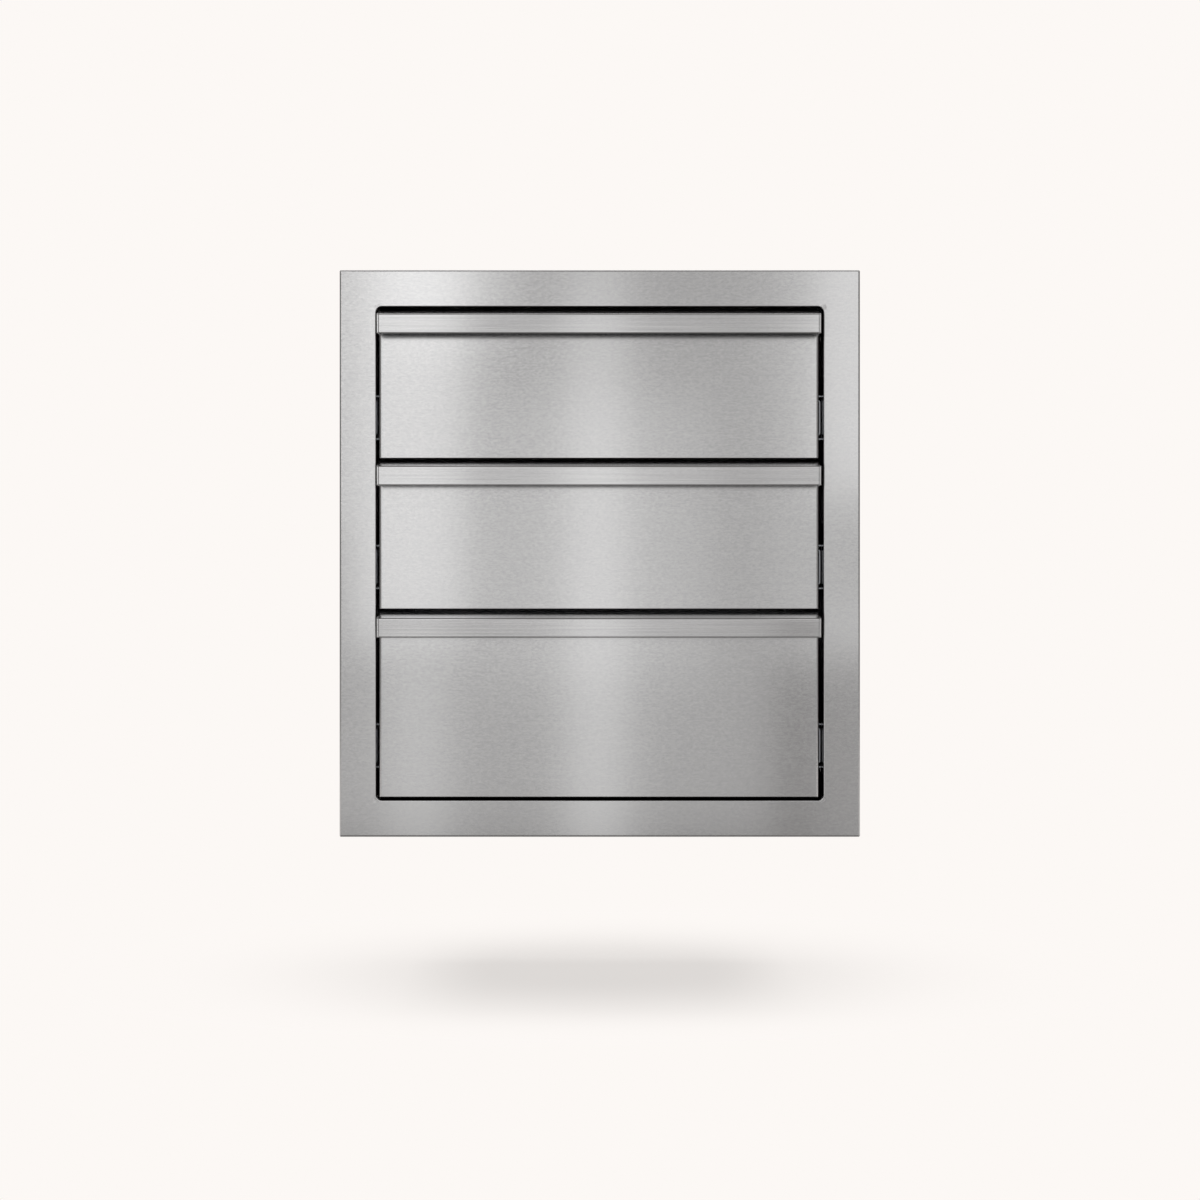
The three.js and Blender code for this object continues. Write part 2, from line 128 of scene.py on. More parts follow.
# Steel mirrors the pale backdrop behind the unit, and a dimmer studio in front and beside it
world = bpy.data.worlds.new("studio_air")
bpy.context.scene.world = world
world.use_nodes = True
tree = world.node_tree
tree.nodes.clear()
sight = add_node(tree, "ShaderNodeLightPath")
towards = add_node(tree, "ShaderNodeTexCoord")
direction = add_node(tree, "ShaderNodeSeparateXYZ", {"Vector": towards.outputs["Generated"]})
air_share = add_node(
    tree,
    "ShaderNodeMapRange",
    {
        "Value": direction.outputs["Y"],
        "From Min": AIR_TURN_START,
        "From Max": AIR_TURN_END,
        "To Min": FRONT_AIR_SHARE,
        "To Max": REAR_AIR_SHARE,
    },
    interpolation_type="SMOOTHSTEP",
)
air_and_floor = add_node(
    tree,
    "ShaderNodeMix",
    {"Factor": sight.outputs["Is Glossy Ray"], 2: FRONT_AIR_SHARE, 3: air_share.outputs["Result"]},
)
air = add_node(
    tree,
    "ShaderNodeBackground",
    {"Color": linear(BACKGROUND_COLOUR), "Strength": air_and_floor.outputs[0]},
)
backdrop = add_node(
    tree, "ShaderNodeBackground", {"Color": linear(BACKGROUND_COLOUR), "Strength": 1.0}
)
seen = add_node(
    tree,
    "ShaderNodeMixShader",
    {"Fac": sight.outputs["Is Camera Ray"], 1: air.outputs["Background"], 2: backdrop.outputs["Background"]},
)
add_node(tree, "ShaderNodeOutputWorld", {"Surface": seen.outputs["Shader"]})

# The floor shows the backdrop's colour, mixed under the unit with paint that is lit by a lamp overhead.
# The lamp and the air light that paint to the backdrop's own tone, so that only the shadow shows. Steel
# mirrors the floor dimly in front of the unit and bright behind it, as it does the air.
FLOOR_DROP = 200 * MM
FLOOR_HALF = 3000 * MM
# Paint's share in the floor at the middle of the shadow, out to the core's share of its reach
SHADOW_CENTRE = Vector((0, 410 * MM, 0))
SHADOW_REACH = Vector((640 * MM, 460 * MM, 1))
SHADOW_SHARE = 0.32
SHADOW_CORE_SHARE = 0.2
# The floor that steel mirrors brightens over these shares of its reach round a place in front
DIM_CENTRE = Vector((0, -1300 * MM, 0))
DIM_REACH = Vector((1100 * MM, 1800 * MM, 1))
DIM_START_SHARE = 0.75
DIM_END_SHARE = 1.1
LAMP_TILT = math.radians(10)
LAMP_SOFTNESS = math.radians(48)


def share_of_reach(tree, place, centre, reach):
    """How far each point is from a centre, as a share of the reach along each axis."""
    offset = add_node(
        tree, "ShaderNodeVectorMath", {0: place.outputs["Object"], 1: centre}, operation="SUBTRACT"
    )
    shares = add_node(
        tree, "ShaderNodeVectorMath", {0: offset.outputs["Vector"], 1: reach}, operation="DIVIDE"
    )
    return add_node(tree, "ShaderNodeVectorMath", {0: shares.outputs["Vector"]}, operation="LENGTH")


mesh = bpy.data.meshes.new("pale_floor")
corners = [(-1, -1), (1, -1), (1, 1), (-1, 1)]
mesh.from_pydata([(x * FLOOR_HALF, y * FLOOR_HALF, 0) for x, y in corners], [], [(0, 1, 2, 3)])
floor = link_object("pale_floor", mesh)
floor.location = (0, 0, cad_low.z - FLOOR_DROP)

floor_paint, tree = new_material("pale_paint")
sight = add_node(tree, "ShaderNodeLightPath")
place = add_node(tree, "ShaderNodeTexCoord")
from_shadow = share_of_reach(tree, place, SHADOW_CENTRE, SHADOW_REACH)
shadowed = add_node(
    tree,
    "ShaderNodeMapRange",
    {
        "Value": from_shadow.outputs["Value"],
        "From Min": SHADOW_CORE_SHARE,
        "From Max": 1.0,
        "To Min": SHADOW_SHARE,
        "To Max": 0.0,
    },
    interpolation_type="SMOOTHSTEP",
)
paint = add_node(tree, "ShaderNodeBsdfDiffuse", {"Color": linear(BACKGROUND_COLOUR)})
glow = add_node(tree, "ShaderNodeEmission", {"Color": linear(BACKGROUND_COLOUR), "Strength": 1.0})
from_dim = share_of_reach(tree, place, DIM_CENTRE, DIM_REACH)
mirrored_share = add_node(
    tree,
    "ShaderNodeMapRange",
    {
        "Value": from_dim.outputs["Value"],
        "From Min": DIM_START_SHARE,
        "From Max": DIM_END_SHARE,
        "To Min": FRONT_AIR_SHARE,
        "To Max": REAR_AIR_SHARE,
    },
    interpolation_type="SMOOTHSTEP",
)
dim_glow = add_node(
    tree,
    "ShaderNodeEmission",
    {"Color": linear(BACKGROUND_COLOUR), "Strength": mirrored_share.outputs["Result"]},
)
to_camera = add_node(
    tree,
    "ShaderNodeMixShader",
    {"Fac": shadowed.outputs["Result"], 1: glow.outputs["Emission"], 2: paint.outputs["BSDF"]},
)
to_steel = add_node(
    tree,
    "ShaderNodeMixShader",
    {"Fac": sight.outputs["Is Glossy Ray"], 1: paint.outputs["BSDF"], 2: dim_glow.outputs["Emission"]},
)
blend = add_node(
    tree,
    "ShaderNodeMixShader",
    {"Fac": sight.outputs["Is Camera Ray"], 1: to_steel.outputs["Shader"], 2: to_camera.outputs["Shader"]},
)
add_node(tree, "ShaderNodeOutputMaterial", {"Surface": blend.outputs["Shader"]})
mesh.materials.append(floor_paint)

floor_alone = bpy.data.collections.new("floor_alone")
floor_alone.objects.link(floor)
all_but_floor = bpy.data.collections.new("all_but_floor")
all_but_floor.objects.link(floor)
all_but_floor.collection_objects[0].light_linking.link_state = "EXCLUDE"

overhead = bpy.data.lights.new("overhead_lamp", "SUN")
overhead.angle = LAMP_SOFTNESS
overhead.energy = math.pi * (1 - FRONT_AIR_SHARE) / math.cos(LAMP_TILT)
lamp = link_object("overhead_lamp", overhead)
lamp.rotation_euler = (LAMP_TILT, 0, 0)
lamp.light_linking.receiver_collection = floor_alone

# The boxes in front, each a little further off than the one before, so that no two share a plane
BOX_DISTANCE = 700 * MM
BOX_STAGGER = 6 * MM
# Their middle across, middle height, width and height in millimetres, and brightness
FRONT_BOXES = {
    "front_fill": (-130, 410, 730, 1000, 0.32),
    "far_left_strip": (-425, 725, 105, 770, 0.84),
    "left_strip": (-255, 515, 155, 680, 0.55),
    "left_key": (-205, 780, 180, 400, 0.27),
    "low_left_box": (-245, -20, 80, 340, 0.28),
    "middle_strip": (-5, 260, 80, 900, 0.38),
    "middle_box": (0, 325, 300, 380, 0.16),
    "right_strip": (345, 555, 220, 780, 0.44),
    "right_key": (345, 670, 105, 580, 0.46),
    "low_right_box": (445, 20, 330, 420, 0.2),
}
# Larger boxes for the sides, the top and the back: middle, width, height and brightness
ROOM_BOXES = {
    "high_left": ((-1200, -700, 1500), 900, 900, 0.8),
    "high_right": ((1200, -700, 1500), 900, 900, 0.8),
    "rear": ((0, 2000, 900), 1800, 1000, 0.5),
    "rear_top": ((0, 700, 1900), 1600, 1100, 0.8),
}


def soft_box(name, centre, width, height, brightness, aim):
    """A soft box that the camera doesn't see. Its brightness is that of its face, 1 being paper white."""
    lamp = bpy.data.lights.new(name, "AREA")
    lamp.shape = "RECTANGLE"
    lamp.size = width
    lamp.size_y = height
    lamp.energy = math.pi * width * height * brightness
    box = link_object(name, lamp)
    box.location = centre
    box.rotation_euler = (aim - centre).to_track_quat("-Z", "Y").to_euler()
    box.visible_camera = False
    box.light_linking.receiver_collection = all_but_floor


for order, (name, (x, z, width, height, brightness)) in enumerate(FRONT_BOXES.items()):
    centre = Vector((x * MM, FLANGE_LOW.y - BOX_DISTANCE - order * BOX_STAGGER, z * MM))
    soft_box(name, centre, width * MM, height * MM, brightness, centre + Vector((0, 1, 0)))
middle = (cad_low + cad_high) / 2
for name, (centre, width, height, brightness) in ROOM_BOXES.items():
    soft_box(name, Vector(centre) * MM, width * MM, height * MM, brightness, middle)


# The face frame
# One sheet of stainless steel with the opening cut out of it. Its outer edge is folded back to the
# island, the opening's edge is folded inwards, and the corners are welded and ground. It is brushed, as
# the faces and pulls are, with the grain level all the way round.
SHEET = 1.2 * MM
RAIL = 37 * MM
OUTER_BEND = 1.9 * MM
OPENING_BEND = 1.0 * MM
OUTER_CORNER = 1.6 * MM
OPENING_CORNER = 6 * MM
LEAST_CORNER = 0.2 * MM
BEND_STEPS = 8
CORNER_STEPS = 8
FLAT_EDGE = 0.1 * MM
LEAST_EDGE = FLAT_EDGE / 4
# The scratches of a 150 grit belt are finer than a pixel, so the grain is drawn this coarse
GRAIN_LENGTH = 3.2 * MM
GRAIN_WIDTH = 1.4 * MM
GRAIN_HEIGHT = 0.0012 * MM
STREAK_LENGTH = 130 * MM
STREAK_WIDTH = 1.6 * MM
SCRATCH_DETAIL = 1.0
STREAK_DETAIL = 2.0
STREAK_SHARE = 0.2
BELT_ROUGHNESS = 0.185
# Rolling and folding leave thin sheet a little wavy, and a welded frame less than a drawer face
WAVE_LENGTH = 150 * MM
SHEET_WAVE = 0.04 * MM
FRAME_WAVE = 0.02 * MM
# Noise mostly stays between these values, over which tones and roughness are spread
NOISE_LOW = 0.3
NOISE_HIGH = 0.7
NOISE_ROUGHNESS = 0.6
ROUGHNESS_STRAY = 0.015
# Reflections spread a little more one way: up an upright sheet, and from front to back on a level one
SPREAD = 0.15
SPREAD_DIRECTION = (0.0, 0.05, 1.0)


def brushed_stainless(
    name, pale, dark, roughness=BELT_ROUGHNESS, grain_axes="xy", streak_share=STREAK_SHARE, wave=SHEET_WAVE
):
    """Brushed stainless sheet. The grain runs along the axes named, and a share of it in long streaks."""
    material, tree = new_material(name)
    place = add_node(tree, "ShaderNodeTexCoord")

    def brushed(length, width, detail):
        """Noise drawn out along the grain."""
        scale = [1 / length if axis in grain_axes else 1 / width for axis in "xyz"]
        stretched = add_node(tree, "ShaderNodeMapping", {"Vector": place.outputs["Object"], "Scale": scale})
        return add_node(
            tree,
            "ShaderNodeTexNoise",
            {
                "Vector": stretched.outputs["Vector"],
                "Scale": 1.0,
                "Detail": detail,
                "Roughness": NOISE_ROUGHNESS,
            },
        )

    scratches = brushed(GRAIN_LENGTH, GRAIN_WIDTH, SCRATCH_DETAIL)
    streaks = brushed(STREAK_LENGTH, STREAK_WIDTH, STREAK_DETAIL)
    grain = add_node(
        tree,
        "ShaderNodeMix",
        {"Factor": streak_share, 2: scratches.outputs["Fac"], 3: streaks.outputs["Fac"]},
    )
    waves = add_node(
        tree,
        "ShaderNodeTexNoise",
        {"Vector": place.outputs["Object"], "Scale": 1 / WAVE_LENGTH, "Detail": 0.0},
    )
    waved = add_node(
        tree,
        "ShaderNodeBump",
        {"Height": waves.outputs["Fac"], "Strength": 1.0, "Distance": wave},
    )
    grained = add_node(
        tree,
        "ShaderNodeBump",
        {
            "Height": grain.outputs[0],
            "Strength": 1.0,
            "Distance": GRAIN_HEIGHT,
            "Normal": waved.outputs["Normal"],
        },
    )
    tone_share = add_node(
        tree,
        "ShaderNodeMapRange",
        {"Value": grain.outputs[0], "From Min": NOISE_LOW, "From Max": NOISE_HIGH},
    )
    tone = add_node(
        tree,
        "ShaderNodeMix",
        {"Factor": tone_share.outputs["Result"], 6: linear(dark), 7: linear(pale)},
        data_type="RGBA",
    )
    sheen = add_node(
        tree,
        "ShaderNodeMapRange",
        {
            "Value": grain.outputs[0],
            "From Min": NOISE_LOW,
            "From Max": NOISE_HIGH,
            "To Min": roughness - ROUGHNESS_STRAY,
            "To Max": roughness + ROUGHNESS_STRAY,
        },
    )
    spread = add_node(tree, "ShaderNodeCombineXYZ", dict(zip("XYZ", SPREAD_DIRECTION)))
    steel = add_node(
        tree,
        "ShaderNodeBsdfPrincipled",
        {
            "Base Color": tone.outputs[2],
            "Metallic": 1.0,
            "Roughness": sheen.outputs["Result"],
            "Anisotropic": SPREAD,
            "Normal": grained.outputs["Normal"],
            "Tangent": spread.outputs["Vector"],
        },
    )
    add_node(tree, "ShaderNodeOutputMaterial", {"Surface": steel.outputs["BSDF"]})
    return material


def rounded_line(corners):
    """The line through corners (a, b, bend radius). Each bend has a hairline of flat at both ends, so that
    the flats beside it shade as flats."""
    line = [Vector(corners[0][:2])]
    for before, corner, after in zip(corners, corners[1:], corners[2:]):
        point = Vector(corner[:2])
        to_before = (Vector(before[:2]) - point).normalized()
        to_after = (Vector(after[:2]) - point).normalized()
        half_angle = to_before.angle(to_after) / 2
        reach = corner[2] / math.tan(half_angle)
        centre = point + (to_before + to_after).normalized() * corner[2] / math.sin(half_angle)
        first = point + to_before * reach - centre
        last = point + to_after * reach - centre
        turn = math.atan2(first.x * last.y - first.y * last.x, first.dot(last))
        turns = [turn * step / BEND_STEPS for step in range(BEND_STEPS + 1)]
        arc = [centre + Matrix.Rotation(angle, 2) @ first for angle in turns]
        line += [arc[0] + to_before * FLAT_EDGE, *arc, arc[-1] + to_after * FLAT_EDGE]
    line.append(Vector(corners[-1][:2]))
    return [p for n, p in enumerate(line) if n == 0 or (p - line[n - 1]).length > LEAST_EDGE]


def folded_sheet(corners, thickness):
    """Both faces of a folded sheet seen on edge, as two lists of points. Corners follow its left face."""
    line = rounded_line(corners)
    steps = [(b - a).normalized() for a, b in zip(line, line[1:])]
    behind = []
    for number, point in enumerate(line):
        before = steps[max(number - 1, 0)]
        after = steps[min(number, len(steps) - 1)]
        across = Vector((before.y + after.y, -before.x - after.x)).normalized()
        behind.append(point + across * thickness / across.dot(Vector((after.y, -after.x))))
    return line, behind


def rounded_rectangle(centre_x, centre_z, half_width, half_height, radius):
    """The points of a rectangle with round corners, anticlockwise as seen from the front."""
    points = []
    for quarter, (right, up) in enumerate([(1, 1), (-1, 1), (-1, -1), (1, -1)]):
        for step in range(CORNER_STEPS + 1):
            angle = math.pi / 2 * (quarter + step / CORNER_STEPS)
            x = centre_x + right * (half_width - radius) + radius * math.cos(angle)
            z = centre_z + up * (half_height - radius) + radius * math.sin(angle)
            points.append((x, z))
    return points


SHARP_ANGLE = math.radians(35)


def finished_mesh(name, shape):
    """A mesh from a bmesh, with its faces turned outwards, smooth bends and sharp edges."""
    bmesh.ops.recalc_face_normals(shape, faces=shape.faces)
    mesh = bpy.data.meshes.new(name)
    shape.to_mesh(mesh)
    shape.free()
    mesh.polygons.foreach_set("use_smooth", [True] * len(mesh.polygons))
    mesh.set_sharp_from_angle(angle=SHARP_ANGLE)
    return mesh


def mesh_of_rings(name, rings, closed):
    """A mesh from rings of points. The rings close on each other, or the first and last are filled."""
    shape = bmesh.new()
    loops = [[shape.verts.new(point) for point in ring] for ring in rings]
    pairs = list(zip(loops, loops[1:]))
    if closed:
        pairs.append((loops[-1], loops[0]))
    else:
        shape.faces.new(loops[0])
        shape.faces.new(loops[-1])
    for ring, following in pairs:
        for number, vertex in enumerate(ring):
            beside = (number + 1) % len(ring)
            shape.faces.new((vertex, ring[beside], following[beside], following[number]))
    return finished_mesh(name, shape)


def add_piece(name, mesh, material, body, slot_name, *nodes):
    """A piece that rides on a body, takes the material given and stands for the CAD nodes named. Its slot
    name is not used.
    """
    piece = link_object(name, mesh)
    mesh.materials.clear()
    mesh.materials.append(material)
    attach(piece, body)
    if nodes:
        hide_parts(*nodes)
    return piece


# The origin lies on the flange's seat
front = FLANGE_LOW.y
seat = 0.0
flange_centre_z = (FLANGE_LOW.z + FLANGE_HIGH.z) / 2
flange_half_height = (FLANGE_HIGH.z - FLANGE_LOW.z) / 2
# Belt-brushed stainless: a bright satin that shows lamps as soft upright bands, under fine level hairs
frame_steel = brushed_stainless("brushed_stainless_frame", "#D7D7D7", "#CBCBCC", wave=FRAME_WAVE)

# The opening's corners are notched, welded and ground, which leaves a shallow dull dish at each
DISH_RADIUS = 5.2 * MM
DISH_FLOOR_SHARE = 1 / 3
DISH_DEPTH = 0.16 * MM
DISH_DULLNESS = 0.12
DISH_STRAY = 2.5 * MM
DISH_NOISE = 5 * MM
DISH_DETAIL = 1.0
DISH_INSET = -0.8 * MM
# Depth doesn't count in the distance from a corner, so the dish is round as seen from the front
LEVEL_WITH_SHEET = Vector((1, 0, 1))


def grind_corners(tree, half_width, half_height):
    """Adds the ground dishes to a brushed steel, one at each corner of the opening."""
    place = add_node(tree, "ShaderNodeTexCoord")
    centre = Vector((0, 0, flange_centre_z))
    from_middle = add_node(
        tree, "ShaderNodeVectorMath", {0: place.outputs["Object"], 1: centre}, operation="SUBTRACT"
    )
    folded = add_node(tree, "ShaderNodeVectorMath", {0: from_middle.outputs["Vector"]}, operation="ABSOLUTE")
    corner = Vector((half_width + DISH_INSET, 0, half_height + DISH_INSET))
    from_corner = add_node(
        tree, "ShaderNodeVectorMath", {0: folded.outputs["Vector"], 1: corner}, operation="SUBTRACT"
    )
    flat = add_node(
        tree,
        "ShaderNodeVectorMath",
        {0: from_corner.outputs["Vector"], 1: LEVEL_WITH_SHEET},
        operation="MULTIPLY",
    )
    distance = add_node(tree, "ShaderNodeVectorMath", {0: flat.outputs["Vector"]}, operation="LENGTH")
    uneven = add_node(
        tree,
        "ShaderNodeTexNoise",
        {"Vector": place.outputs["Object"], "Scale": 1 / DISH_NOISE, "Detail": DISH_DETAIL},
    )
    strayed = add_node(
        tree,
        "ShaderNodeMath",
        {0: uneven.outputs["Fac"], 1: DISH_STRAY, 2: distance.outputs["Value"]},
        operation="MULTIPLY_ADD",
    )
    dish = add_node(
        tree,
        "ShaderNodeMapRange",
        {
            "Value": strayed.outputs["Value"],
            "From Min": DISH_RADIUS,
            "From Max": DISH_RADIUS * DISH_FLOOR_SHARE,
        },
        interpolation_type="SMOOTHSTEP",
    )
    steel = next(node for node in tree.nodes if node.type == "BSDF_PRINCIPLED")
    dented = add_node(
        tree,
        "ShaderNodeBump",
        {
            "Height": dish.outputs["Result"],
            "Strength": 1.0,
            "Distance": DISH_DEPTH,
            "Normal": steel.inputs["Normal"].links[0].from_socket,
        },
        invert=True,
    )
    tree.links.new(dented.outputs["Normal"], steel.inputs["Normal"])
    duller = add_node(
        tree, "ShaderNodeMapRange", {"Value": dish.outputs["Result"], "To Max": DISH_DULLNESS}
    )
    roughness = add_node(
        tree,
        "ShaderNodeMath",
        {0: steel.inputs["Roughness"].links[0].from_socket, 1: duller.outputs["Result"]},
    )
    tree.links.new(roughness.outputs["Value"], steel.inputs["Roughness"])


grind_corners(frame_steel.node_tree, FLANGE_WIDTH / 2 - RAIL, flange_half_height - RAIL)
frame_fold = [
    (0, seat),
    (0, front, OUTER_BEND),
    (RAIL, front, OPENING_BEND),
    (RAIL, FLANGE_HIGH.y),
]
shown, hidden = folded_sheet(frame_fold, -SHEET)


def frame_ring(inset, depth):
    """The frame's outline at one distance in from its outer edge."""
    if inset < RAIL / 2:
        corner = max(OUTER_CORNER - inset, LEAST_CORNER)
    else:
        corner = OPENING_CORNER + RAIL - inset
    outline = rounded_rectangle(
        0, flange_centre_z, FLANGE_WIDTH / 2 - inset, flange_half_height - inset, corner
    )
    return [(x, depth, z) for x, z in outline]


frame_rings = [frame_ring(*point) for point in shown + hidden[::-1]]
face_frame = mesh_of_rings("flanged_face_frame", frame_rings, closed=True)
add_piece("flanged_face_frame", face_frame, frame_steel, "cabinet", "frame_steel", "face_frame")


# The housing
# Five panels of 1 mm stainless sheet, folded and spot-welded along their turned edges, left in the mill's
# own rolled finish: greyer and duller than the front. The punched holes take screws into the island.
PANEL = 1 * MM
PANEL_BEND = 1.5 * MM
PANEL_LAP = 14 * MM
HAIRLINE = 0.3 * MM
NOTCH_WIDTH = 2.5 * MM
OVERRUN = 1 * MM
FIXING_HOLE = 2.5 * MM
FIXING_INSET = 30 * MM
ROUND_STEPS = 32
# After a cut, points nearer to each other than this are one
SAME_POINT = 0.0001 * MM
# The name of each side, and which way along X it lies
HANDS = (("left", -1), ("right", 1))
# The lines that the rolls leave are finer than a pixel, so they are drawn this coarse
ROLLING_LENGTH = 120 * MM
ROLLING_WIDTH = 1.6 * MM
ROLLING_HEIGHT = 0.004 * MM
CLOUD_WIDTH = 30 * MM
ROLLED_DETAIL = 3.0
# Two noises added up mostly stay between these values
BOTH_LOW = 0.7
BOTH_HIGH = 1.3
MILL_ROUGHNESS = 0.36


def rolled_steel(name, pale, dark, roughness, line_axis):
    """Sheet or strip as it leaves the rolls: fine lines along one axis over faint cloudy patches."""
    material, tree = new_material(name)
    place = add_node(tree, "ShaderNodeTexCoord")
    scale = [1 / ROLLING_LENGTH if axis == line_axis else 1 / ROLLING_WIDTH for axis in "xyz"]
    stretched = add_node(tree, "ShaderNodeMapping", {"Vector": place.outputs["Object"], "Scale": scale})
    lines = add_node(
        tree,
        "ShaderNodeTexNoise",
        {
            "Vector": stretched.outputs["Vector"],
            "Scale": 1.0,
            "Detail": ROLLED_DETAIL,
            "Roughness": NOISE_ROUGHNESS,
        },
    )
    clouds = add_node(
        tree,
        "ShaderNodeTexNoise",
        {"Vector": place.outputs["Object"], "Scale": 1 / CLOUD_WIDTH, "Detail": ROLLED_DETAIL},
    )
    both = add_node(tree, "ShaderNodeMath", {0: lines.outputs["Fac"], 1: clouds.outputs["Fac"]})
    tone_share = add_node(
        tree,
        "ShaderNodeMapRange",
        {"Value": both.outputs["Value"], "From Min": BOTH_LOW, "From Max": BOTH_HIGH},
    )
    tone = add_node(
        tree,
        "ShaderNodeMix",
        {"Factor": tone_share.outputs["Result"], 6: linear(dark), 7: linear(pale)},
        data_type="RGBA",
    )
    sheen = add_node(
        tree,
        "ShaderNodeMapRange",
        {
            "Value": clouds.outputs["Fac"],
            "From Min": NOISE_LOW,
            "From Max": NOISE_HIGH,
            "To Min": roughness - ROUGHNESS_STRAY,
            "To Max": roughness + ROUGHNESS_STRAY,
        },
    )
    lined = add_node(
        tree,
        "ShaderNodeBump",
        {"Height": lines.outputs["Fac"], "Strength": 1.0, "Distance": ROLLING_HEIGHT},
    )
    steel = add_node(
        tree,
        "ShaderNodeBsdfPrincipled",
        {
            "Base Color": tone.outputs[2],
            "Metallic": 1.0,
            "Roughness": sheen.outputs["Result"],
            "Normal": lined.outputs["Normal"],
        },
    )
    add_node(tree, "ShaderNodeOutputMaterial", {"Surface": steel.outputs["BSDF"]})
    return material


def swept_sheet(name, faces, start, end, along):
    """A sheet given by its two faces seen on edge, run along X or Y between two places."""
    shape = bmesh.new()
    shown, hidden = faces
    outline = shown + hidden[::-1]
    rings = []
    for place in (start, end):
        points = [(place, a, b) if along == "x" else (a, place, b) for a, b in outline]
        rings.append([shape.verts.new(point) for point in points])
    count = len(outline)
    for number in range(count):
        beside = (number + 1) % count
        shape.faces.new((rings[0][number], rings[0][beside], rings[1][beside], rings[1][number]))
    for ring in rings:
        for number in range(len(shown) - 1):
            across = count - 1 - number
            shape.faces.new((ring[number], ring[number + 1], ring[across - 1], ring[across]))
    return finished_mesh(name, shape)


def joined(name, meshes):
    """Several meshes as one."""
    shape = bmesh.new()
    for mesh in meshes:
        shape.from_mesh(mesh)
    return finished_mesh(name, shape)


def block(low, high):
    """A closed box to cut with."""
    corners = [(low[0], low[2]), (high[0], low[2]), (high[0], high[2]), (low[0], high[2])]
    return mesh_of_rings("block", [[(x, y, z) for x, z in corners] for y in (low[1], high[1])], closed=False)


def round_turn(steps):
    """How far each step round a circle of radius 1 lies across and up."""
    angles = [2 * math.pi * step / steps for step in range(steps)]
    return [(math.cos(angle), math.sin(angle)) for angle in angles]


def drill(centre, radius, along):
    """A closed round bar to drill with, through one sheet along X or Y."""
    rings = []
    for reach in (-OVERRUN - PANEL, OVERRUN + PANEL):
        ring = []
        for across, up in round_turn(ROUND_STEPS):
            level = (reach, radius * across) if along == "x" else (radius * across, reach)
            ring.append(Vector(centre) + Vector((*level, radius * up)))
        rings.append(ring)
    return mesh_of_rings("drill", rings, closed=False)


def modified(carrier):
    """The mesh of an object with its modifiers applied. The object itself goes."""
    evaluated = carrier.evaluated_get(bpy.context.evaluated_depsgraph_get())
    mesh = bpy.data.meshes.new_from_object(evaluated)
    bpy.data.objects.remove(carrier)
    return mesh


def cut_away(name, mesh, cutters):
    """The mesh with every cutter taken out of it."""
    cutter = link_object("cutter", joined("cutter", cutters))
    blank = link_object("blank", mesh)
    cut = blank.modifiers.new("cut", "BOOLEAN")
    cut.operation = "DIFFERENCE"
    cut.solver = "EXACT"
    cut.object = cutter
    result = modified(blank)
    bpy.data.objects.remove(cutter)
    shape = bmesh.new()
    shape.from_mesh(result)
    bmesh.ops.remove_doubles(shape, verts=shape.verts, dist=SAME_POINT)
    return finished_mesh(name, shape)


# A straight row of like parts: spot welds, rivets or balls
row_tree = bpy.data.node_groups.new("row_of_like_parts", "GeometryNodeTree")
for label, kind in (
    ("Part", "Geometry"),
    ("Count", "Int"),
    ("Start", "Vector"),
    ("Step", "Vector"),
    ("Finish", "Material"),
):
    row_tree.interface.new_socket(name=label, in_out="INPUT", socket_type=f"NodeSocket{kind}")
row_tree.interface.new_socket(name="Row", in_out="OUTPUT", socket_type="NodeSocketGeometry")
given = add_node(row_tree, "NodeGroupInput")
places = add_node(
    row_tree,
    "GeometryNodeMeshLine",
    {
        "Count": given.outputs["Count"],
        "Start Location": given.outputs["Start"],
        "Offset": given.outputs["Step"],
    },
    mode="OFFSET",
)
parts = add_node(
    row_tree,
    "GeometryNodeInstanceOnPoints",
    {"Points": places.outputs["Mesh"], "Instance": given.outputs["Part"]},
)
real = add_node(row_tree, "GeometryNodeRealizeInstances", {"Geometry": parts.outputs["Instances"]})
finished = add_node(
    row_tree,
    "GeometryNodeSetMaterial",
    {"Geometry": real.outputs["Geometry"], "Material": given.outputs["Finish"]},
)
add_node(row_tree, "NodeGroupOutput", {"Row": finished.outputs["Geometry"]})
row_inputs = {
    socket.name: socket.identifier
    for socket in row_tree.interface.items_tree
    if socket.in_out == "INPUT"
}


def row_of(part, count, start, step, finish):
    """One mesh with a part repeated along a straight row."""
    carrier = link_object("row", part)
    row = carrier.modifiers.new("row", "NODES")
    row.node_group = row_tree
    row[row_inputs["Count"]] = count
    row[row_inputs["Start"]] = tuple(start)
    row[row_inputs["Step"]] = tuple(step)
    row[row_inputs["Finish"]] = finish
    return modified(carrier)


# A spot weld: a shallow dish pressed by the electrode, in a low ridge
WELD_RADIUS = 3 * MM
WELD_RIDGE = 0.12 * MM
WELD_STEPS = 16
WELD_PITCH = 42 * MM
WELD_PROFILE_SHARES = ((1.0, 0.0), (0.85, 1.0), (0.6, 0.9), (0.4, 0.3), (0.12, 0.2))
WELD_RIM_SHARE = 0.8
WELD_ROUGHNESS = 0.42

